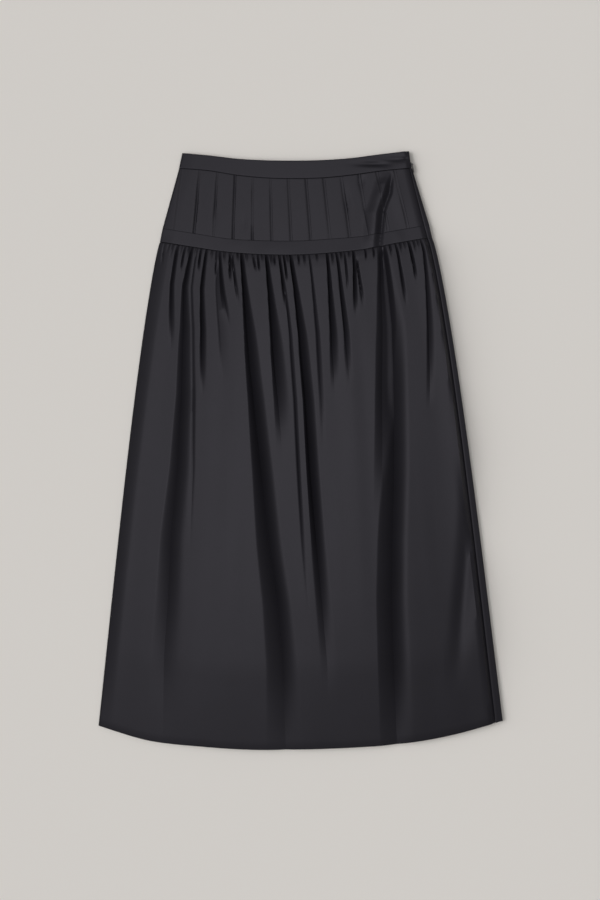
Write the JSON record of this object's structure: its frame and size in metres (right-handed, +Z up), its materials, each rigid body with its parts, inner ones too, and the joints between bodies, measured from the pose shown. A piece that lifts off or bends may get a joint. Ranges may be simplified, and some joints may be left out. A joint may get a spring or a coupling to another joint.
{
  "type": "pintuck skirt",
  "caption": "Long gathered skirt with a pintucked hip yoke, laid flat with its front up, with a small hinged zip pull at the side.",
  "frame": {"origin": "middle of the laid-out skirt in plan, on the surface it lies on", "axes": "+Z up off the surface, +Y towards the waist, +X towards the side zip"},
  "size_m": [0.6078, 0.8989, 0.0128],
  "materials": {
    "cloth": "charcoal satin crepe, soft low sheen",
    "zip_tape": "matte woven tape",
    "zip_metal": "black enamel, half gloss"
  },
  "bodies": {
    "skirt": {"waistband_front": "cloth", "waistband_back": "cloth", "yoke_front": "cloth", "yoke_back": "cloth", "hip_band_front": "cloth", "hip_band_back": "cloth", "skirt_front": "cloth", "skirt_back": "cloth", "zip_tape": "zip_tape", "zip_slider": "zip_metal"},
    "pull": {"zip_pull": "zip_metal"}
  },
  "joints": [
    {"name": "pull_hinge", "type": "hinge", "parent": "skirt", "child": "pull", "pos_m": [0.16759, 0.4298, 0.0026], "axis": [0, 0, 1], "range_deg": [0, 150]}
  ]
}
